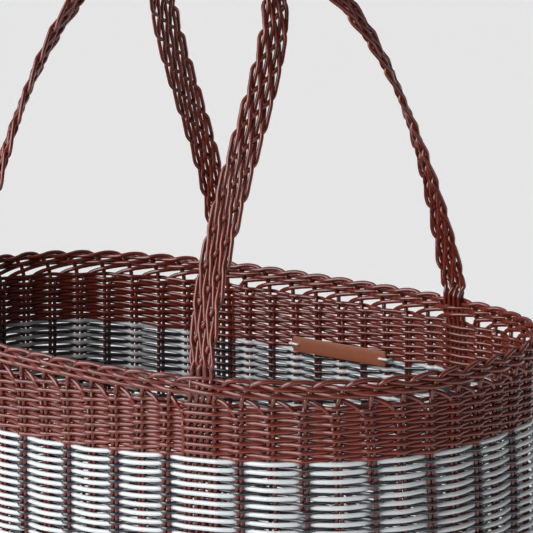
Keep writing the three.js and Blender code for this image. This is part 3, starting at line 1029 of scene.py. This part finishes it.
@dataclass
class StrapHandle:
    """Strap plaited from eight cords.

    Each in turn is woven across the other seven, over one and under one.
    """

    name: str
    arch: Arch
    plan: WallPlan
    cord: float = 1.45 * MM
    strands: int = 8
    tones: float = 0.5
    loop_pitch: float = 23.7 * MM
    phase: float = 12.8 * MM
    crossing: float = 1.4
    half: float = 9.8 * MM
    depth: float = 1.7 * MM
    step_share: float = 0.38
    across_ease: float = 0.42
    depth_ease: float = 0.16
    arch_rise: float = 262 * MM
    pivot_height: float = 245.705 * MM
    bend_from: float = -4 * MM
    bend_to: float = 12 * MM
    square_to: float = 45 * MM
    columns: tuple[float, ...] = (-7.4 * MM, -2.6 * MM, 2.3 * MM, 6.9 * MM)
    layer_shift: float = -1.75 * MM
    foot_drop: float = 1.35 * MM
    sink: float = 9 * MM
    settle: float = 6 * MM
    free_from: float = -2 * MM
    loose_from: float = -3 * MM
    sample: float = 1.3 * MM
    line_steps: int = 1200
    cycle_steps: int = 1600

    def __post_init__(self) -> None:
        """Lay out the arch's middle line and the plait's cycle."""
        rim = self.plan.place(self.plan.along(FRONT_RIGHT), self.plan.height)[0][0]
        arch = self.arch
        foot = np.array([rim[0], arch.side * abs(rim[1]), self.pivot_height])
        knee_y = foot[1] - arch.side * arch.knee_in
        knee = np.array([arch.knee_half, knee_y, rim[2] + arch.knee_rise])
        crown = np.array([arch.crown_half, arch.apex_y, rim[2] + self.arch_rise])
        apex = np.array([0, arch.apex_y, rim[2] + self.arch_rise])
        t = np.linspace(0, 1, self.line_steps + 1)[:, None]
        lower = (1 - t) ** 3 * foot + 3 * (1 - t) ** 2 * t * knee
        self.line = lower + 3 * (1 - t) * t**2 * crown + t**3 * apex
        steps = np.linalg.norm(np.diff(self.line, axis=0), axis=1)
        self.distance = np.concatenate([[0], np.cumsum(steps)])
        self.length = self.distance[-1]
        lean = crown - knee
        lean[0] = 0
        self.lean = unit(lean)
        self.rim_x = rim[0]
        self.cycle = self._plait_cycle()

    def bend(self) -> tuple[tuple[float, float, float], tuple[float, float, float]]:
        """Where the strap starts and stops bending, at its foot.

        Returns:
            The two points, on the basket's middle plane.
        """
        y = float(self.line[0, 1])
        start = (0, y, self.pivot_height + self.bend_from)
        return start, (0, y, self.pivot_height + self.bend_to)

    def _plait_cycle(self) -> tuple[Array, Array, Array]:
        """Where one cord lies over a whole cycle of the plait.

        Returns:
            Turns, shares of the half width across, and shares of the depth.
        """
        count = self.strands
        places = range(1, count)
        over = [(self.crossing * m / count, -1 if m % 2 else 1) for m in places]
        under = [(self.crossing * (count - j) / count + j, 1 if j % 2 else -1) for j in places]
        grid = np.linspace(0, count, self.cycle_steps, endpoint=False)
        times, depths = np.array(over + under, float).T
        depth = np.interp(grid, times, depths, period=count)
        drift = np.interp(grid, [0, self.crossing, count], [-1, 1, -1])
        stepped = np.where(grid < self.crossing, drift, 1.0)
        for time, _ in under:
            stepped = stepped - np.where(grid >= time, 2 / (count - 1), 0)
        stepped = stepped * self.step_share + drift * (1 - self.step_share)
        across = self._softened(np.where(grid < self.crossing, drift, stepped), self.across_ease)
        return grid, across, self._softened(depth, self.depth_ease)

    def _softened(self, cycle: Array, width: float) -> Array:
        """A cycle with its corners rounded.

        Args:
            cycle: Values over one whole cycle.
            width: Width of the rounding, in turns.

        Returns:
            The rounded values.
        """
        size = int(len(cycle) * width / self.strands) | 1
        window = np.hanning(size + 2)[1:-1]
        window = window / window.sum()
        padded = np.concatenate([cycle[-size:], cycle, cycle[:size]])
        return np.convolve(padded, window, "same")[size:-size]

    def frames(self, distance: Array) -> tuple[Array, Array, Array]:
        """The strap's middle line and directions.

        Args:
            distance: From the right foot along the strap.

        Returns:
            Points, directions across the strap, and directions out of its face.
        """
        left = distance > self.length
        reach = np.clip(np.where(left, 2 * self.length - distance, distance), 0, self.length)
        share = reach / self.length
        point, ahead, behind = (
            at_distance(reach + step, self.distance, self.line) for step in (0, 1 * MM, -1 * MM)
        )
        tangent = unit(ahead - behind)
        arch_out = np.zeros_like(point)
        arch_out[:, 0] = point[:, 0] / self.rim_x
        arch_out = cross_perp(arch_out + self.lean * share[:, None], tangent)
        twist = share * math.pi / 2
        side = np.array([0, self.arch.side, 0.0])
        out = side * np.cos(twist)[:, None] + arch_out * np.sin(twist)[:, None]
        across = unit(np.cross(tangent, out))
        turned = smoothstep(reach, 0, self.square_to)[:, None]
        across = unit(across * turned + np.array([-self.arch.side, 0, 0.0]) * (1 - turned))
        out = unit(np.cross(across, tangent))
        mirror = np.where(left, -1.0, 1.0)
        for vectors in (point, across, out):
            vectors[:, 0] *= mirror
        return point, across, out

    def foot_path(self, distance: Array, column: float, depth: float, left: bool) -> Array:
        """Path of a cord inside the border, under the strap's foot.

        Args:
            distance: How far above the foot.
            column: How far the cord stands from the foot's middle, across the strap.
            depth: How far outside the middle of the wall.
            left: Whether it is the left foot.

        Returns:
            The points.
        """
        slot, shift = (self.arch.left_slot, -column) if left else (self.arch.right_slot, column)
        height = self.pivot_height - self.foot_drop + distance
        return self.plan.place(self.plan.along(slot, shift), height, depth)[0]

    def strand_paths(self) -> list[Traced]:
        """Run the eight cords through the plait, and down into the border at both feet.

        Returns:
            Path and facing of each cord.
        """
        total = 2 * self.length
        count = int((total + 2 * self.sink) / self.sample)
        distance = np.linspace(-self.sink, total + self.sink, count)
        grid, across_cycle, depth_cycle = self.cycle
        turns = (distance - self.phase) / self.loop_pitch - np.arange(self.strands)[:, None]
        lateral = np.interp(turns, grid, across_cycle, period=self.strands) * self.half
        depth = np.interp(turns, grid, depth_cycle, period=self.strands) * self.depth
        feet = []
        for left in (False, True):
            gap = total - distance if left else distance
            mark = total - self.settle if left else self.settle
            order = np.argsort(lateral[:, np.searchsorted(distance, mark)])
            columns = [-column for column in self.columns[::-1]] if left else self.columns
            feet.append((left, gap, np.argsort(order), columns))
        centre, across, out = self.frames(distance)
        paths = []
        for strand in range(self.strands):
            x, y = lateral[strand], depth[strand]
            anchors = []
            for left, gap, rank, columns in feet:
                column = columns[rank[strand] // 2]
                layer = self.cord if rank[strand] % 2 else -self.cord
                free = smoothstep(gap, self.free_from, self.settle)
                x = column + (x - column) * free
                y = layer + (y - layer) * free
                foot = self.foot_path(gap, column, layer + self.layer_shift, left)
                anchors.append((foot, smoothstep(gap, self.loose_from, self.settle)[:, None]))
            path = centre + across * x[:, None] + out * y[:, None]
            for foot, loose in anchors:
                path = foot + (path - foot) * loose
            paths.append((path, out))
        return paths

    def cords(self) -> CordBundle:
        """The eight cords of the plait.

        Returns:
            The bundle with all eight.
        """
        bundle = CordBundle(f"{self.name}_plait", self.tones)
        for path, out in self.strand_paths():
            bundle.add(path, out, self.cord)
        return bundle


@dataclass
class LeatherTag:
    """Blank leather tag inside the back wall, with a slit at each end."""

    slit_length: float = 6.5 * MM
    slit_height: float = 2.6 * MM
    slit_from_end: float = 4 * MM
    corner: float = 1.5 * MM
    corner_steps: int = 4
    edge: float = 0.25 * MM
    edge_steps: int = 2
    smooth_angle: float = 35
    face_on: float = 0.9

    def build(self) -> bpy.types.Object:
        """Shape the tag from a block, in its CAD node's place.

        Returns:
            The finished object, at the origin.
        """
        low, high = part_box(Node.TAG.value)
        size = high - low
        centre = (low + high) / 2
        bpy.ops.object.select_all(action="DESELECT")
        bpy.ops.mesh.primitive_cube_add(size=1, location=centre, scale=size)
        piece = bpy.context.object
        piece.name = "blank_tag"
        bpy.ops.object.transform_apply(location=True, rotation=True, scale=True)
        bpy.ops.object.mode_set(mode="EDIT")
        ends = self._slit_ends()
        self._bisect((1, 0, 0), [low.x + end for end in ends] + [high.x - end for end in ends])
        half = self.slit_height / 2
        self._bisect((0, 0, 1), [centre.z - half, centre.z + half])
        self._open_slits(piece, low, high)
        self._round_corners(piece, low, high)
        bpy.ops.object.mode_set(mode="OBJECT")
        return self._finish(piece)

    def _slit_ends(self) -> tuple[float, float]:
        """Distances of a slit's two ends from the tag's end."""
        return self.slit_from_end, self.slit_from_end + self.slit_length

    def _bisect(self, normal: tuple[int, int, int], places: list[float]) -> None:
        """Cut lines across the block.

        Args:
            normal: The axis that the cuts are square to.
            places: Where the cuts lie on that axis.
        """
        for place in places:
            bpy.ops.mesh.select_all(action="SELECT")
            point = [place if axis else 0 for axis in normal]
            bpy.ops.mesh.bisect(plane_co=point, plane_no=normal)

    def _open_slits(self, piece: bpy.types.Object, low: Vector, high: Vector) -> None:
        """Bridge the front and back faces of each slit.

        Args:
            piece: The tag, in edit mode.
            low: The tag's lowest corner.
            high: Its highest corner.
        """
        near, far = self._slit_ends()
        level = (low.z + high.z) / 2
        for middle in (low.x + (near + far) / 2, high.x - (near + far) / 2):
            shape = bmesh.from_edit_mesh(piece.data)
            for face in shape.faces:
                spot = face.calc_center_median()
                in_length = abs(spot.x - middle) < self.slit_length / 2
                in_height = abs(spot.z - level) < self.slit_height / 2
                face.select = in_length and in_height and abs(face.normal.y) > self.face_on
            shape.select_flush_mode()
            bmesh.update_edit_mesh(piece.data)
            bpy.ops.mesh.bridge_edge_loops()

    def _round_corners(self, piece: bpy.types.Object, low: Vector, high: Vector) -> None:
        """Round the tag's four corners.

        Args:
            piece: The tag, in edit mode.
            low: The tag's lowest corner.
            high: Its highest corner.
        """
        bpy.ops.mesh.select_all(action="DESELECT")
        bpy.ops.mesh.select_mode(type="EDGE")
        shape = bmesh.from_edit_mesh(piece.data)
        for edge in shape.edges:
            a, b = (v.co for v in edge.verts)
            through = abs(a.x - b.x) < TOUCH and abs(a.z - b.z) < TOUCH
            at_end = min(abs(a.x - low.x), abs(a.x - high.x)) < TOUCH
            at_edge = min(abs(a.z - low.z), abs(a.z - high.z)) < TOUCH
            edge.select = through and at_end and at_edge
        bmesh.update_edit_mesh(piece.data)
        bpy.ops.mesh.bevel(offset=self.corner, segments=self.corner_steps)

    def _finish(self, piece: bpy.types.Object) -> bpy.types.Object:
        """Soften the edges, and dress the faces and the cut edges.

        Args:
            piece: The tag, in object mode.

        Returns:
            The same object.
        """
        piece.data.materials.append(TAN.material())
        piece.data.materials.append(TAN_EDGE.material())
        for face in piece.data.polygons:
            face.material_index = 0 if abs(face.normal.y) > self.face_on else 1
        bevel = piece.modifiers.new("soft_edge", "BEVEL")
        bevel.width = self.edge
        bevel.segments = self.edge_steps
        bevel.limit_method = "ANGLE"
        bpy.ops.object.modifier_apply(modifier=bevel.name)
        bpy.ops.object.shade_smooth_by_angle(angle=math.radians(self.smooth_angle))
        LOG.info("%s: %d faces", piece.name, len(piece.data.polygons))
        return piece


@dataclass
class TagTie:
    """White cord that ties one end of the tag to the wall."""

    name: str
    end: int
    tag: LeatherTag
    cord: float = 1.0 * MM
    tone: float = 0.1
    slit_gap: float = 0.3 * MM
    past_end: float = 2.6 * MM
    bend: float = 1.2 * MM
    tuck: float = 3 * MM
    sides: int = 12
    steps: int = 4

    def cords(self) -> CordBundle:
        """The cord out of the wall, through the slit, over the tag's end and back.

        Returns:
            The bundle with the one cord.
        """
        low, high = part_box(Node.TAG.value)
        middle = (low.z + high.z) / 2
        tip = high.x if self.end > 0 else low.x
        inner = tip - self.end * (self.tag.slit_from_end + self.cord + self.slit_gap)
        outer = tip + self.end * self.past_end
        front = low.y - self.cord
        back = high.y + self.tuck
        knots = np.array([
            (inner, back, middle),
            (inner, high.y, middle),
            (inner, front + self.bend, middle),
            (inner + self.end * 0.4 * MM, front + 0.2 * MM, middle),
            (inner + self.end * self.bend, front, middle + 0.1 * MM),
            (outer - self.end * self.bend, front + 0.1 * MM, middle + 0.2 * MM),
            (outer - self.end * 0.3 * MM, front + 0.4 * MM, middle),
            (outer, front + 1.4 * MM, middle),
            (outer, high.y, middle),
            (outer, back, middle),
        ])
        bundle = CordBundle(self.name, sides=self.sides)
        bundle.add(rounded_path(knots, self.steps), [0, 0, 1.0], self.cord, tone=self.tone)
        return bundle


@dataclass(frozen=True)
class SoftLight:
    """A broad light, by its direction in degrees, its strength and how wide it looks in degrees."""

    name: str
    azimuth: float
    elevation: float
    strength: float
    breadth: float
    distance: float = 3.0

    def build(self) -> None:
        """Hang the light."""
        data = bpy.data.lights.new(self.name, "SUN")
        data.energy = self.strength
        data.angle = math.radians(self.breadth)
        turn, rise = math.radians(self.azimuth), math.radians(self.elevation)
        level = math.cos(rise)
        towards = Vector((math.cos(turn) * level, math.sin(turn) * level, math.sin(rise)))
        light = bpy.data.objects.new(self.name, data)
        light.location = towards * self.distance
        light.rotation_euler = towards.to_track_quat("Z", "Y").to_euler()
        bpy.context.scene.collection.objects.link(light)


@dataclass
class Studio:
    """Pale floor, soft light, and the camera at the photograph's angle."""

    frame_size: int = 533
    focal_pixels: float = 3129.25
    sensor: float = 36.0
    camera_at: tuple[float, float, float] = (1.34983, -1.64954, 0.73301)
    yaw: float = 128.2255
    pitch: float = -12.1279
    roll: float = -0.5229
    clip_end: float = 60.0
    floor_half: float = 14.0
    floor_drop: float = 0.2 * MM
    floor_tone: float = 0.92
    floor_roughness: float = 0.95
    floor_specular: float = 0.1
    floor_glow: float = 0.155
    surround: float = 0.07
    backdrop: float = 0.78
    lights: tuple[SoftLight, ...] = (
        SoftLight("studio_key", -118, 21, 3.8, 66),
        SoftLight("studio_top_light", 150, 62, 0.62, 90),
    )

    def build(self) -> None:
        """Set out the floor, the camera and the lights."""
        self._floor()
        self._camera()
        self._surround()
        for light in self.lights:
            light.build()

    def _floor(self) -> None:
        """Level floor under the basket."""
        bpy.ops.object.select_all(action="DESELECT")
        place = (0, 0, -self.floor_drop)
        bpy.ops.mesh.primitive_plane_add(size=2 * self.floor_half, location=place)
        floor = bpy.context.object
        floor.name = "studio_floor"
        material = bpy.data.materials.new("studio_paper")
        sheet = NodeSheet(material, "Principled BSDF")
        sheet.feed(sheet.shader, {
            "Base Color": (self.floor_tone,) * 3 + (1,),
            "Roughness": self.floor_roughness,
            "Specular IOR Level": self.floor_specular,
            "Emission Color": (1, 1, 1, 1),
            "Emission Strength": self.floor_glow,
        })
        floor.data.materials.append(material)

    def _camera(self) -> None:
        """Camera fitted to the photograph."""
        yaw, pitch, roll = (math.radians(a) for a in (self.yaw, self.pitch, self.roll))
        flat = math.cos(pitch)
        forward = Vector((flat * math.cos(yaw), flat * math.sin(yaw), math.sin(pitch)))
        level = Vector((math.sin(yaw), -math.cos(yaw), 0))
        upright = level.cross(forward)
        right = level * math.cos(roll) + upright * math.sin(roll)
        up = upright * math.cos(roll) - level * math.sin(roll)
        data = bpy.data.cameras.new("studio_camera")
        data.sensor_width = self.sensor
        data.lens = self.focal_pixels * self.sensor / self.frame_size
        data.clip_end = self.clip_end
        camera = bpy.data.objects.new("studio_camera", data)
        axes = Matrix((right, up, -forward)).transposed().to_4x4()
        camera.matrix_world = Matrix.Translation(Vector(self.camera_at)) @ axes
        bpy.context.scene.collection.objects.link(camera)
        bpy.context.scene.camera = camera

    def _surround(self) -> None:
        """Even light from all round, which the camera sees as the floor's pale tone."""
        scene = bpy.context.scene
        scene.view_settings.view_transform = "Standard"
        scene.world = scene.world or bpy.data.worlds.new("studio_surround")
        sheet = NodeSheet(scene.world, "Background")
        strength = sheet.add("MapRange", {
            "Value": sheet.add("LightPath").outputs["Is Camera Ray"],
            "To Min": self.surround,
            "To Max": self.backdrop,
        })
        sheet.feed(sheet.shader, {"Color": (1, 1, 1, 1), "Strength": strength.outputs["Result"]})


def fix(piece: bpy.types.Object, *nodes: str) -> None:
    """Set a piece on the basket's body in the place of CAD nodes."""
    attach(piece, "basket")
    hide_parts(*nodes)


def main() -> None:
    """Build the basket from its sub-assemblies."""
    logging.basicConfig(level=logging.INFO, format="%(name)s: %(message)s")
    wall = WovenWall(PLAN)
    base = WovenBase(PLAN, wall.pair_half)
    fix(wall.upper_rows().build(BROWN, Slot.BROWN), Node.UPPER.value)
    for rows, finish in wall.checked_rows():
        fix(rows.build(finish, Slot.CHECKED), Node.CHECKED.value)
    fix(wall.lower_rows().build(BROWN, Slot.BROWN), Node.LOWER.value)
    bands = (Node.UPPER.value, Node.CHECKED.value, Node.LOWER.value)
    fix(wall.tails().build(BROWN, Slot.BROWN), Node.UPPER.value, Node.CHECKED.value)
    fix(wall.uprights(base).build(BROWN, Slot.BROWN), *bands, Node.BASE.value)
    fix(base.rows().build(BROWN, Slot.BROWN), Node.BASE.value)
    fix(RolledBorder(PLAN, wall).cords().build(BROWN, Slot.BROWN), Node.RIM.value)
    for name, slot in zip(("front_right", "back_right", "back_left", "front_left"), PLAN.leg_slots):
        leg = HandleLeg(f"{name}_leg", slot, PLAN, wall)
        fix(leg.cords().build(BROWN, Slot.BROWN), leg.name)
    tag = LeatherTag()
    fix(tag.build(), Node.TAG.value)
    for name, end in (("left", -1), ("right", 1)):
        tie = TagTie(f"{name}_tie_cord", end, tag)
        fix(tie.cords().build(WHITE, Slot.WHITE), f"tag_tie_{name}")
    for arch, node in ((FRONT_ARCH, Node.FRONT_HANDLE), (BACK_ARCH, Node.BACK_HANDLE)):
        strap = StrapHandle(node.value, arch, PLAN)
        plait = strap.cords().build(STRAP_BROWN, Slot.STRAP)
        start, end = strap.bend()
        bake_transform(plait)
        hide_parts(node.value)
    Studio().build()


if __name__ == "__main__":
    main()
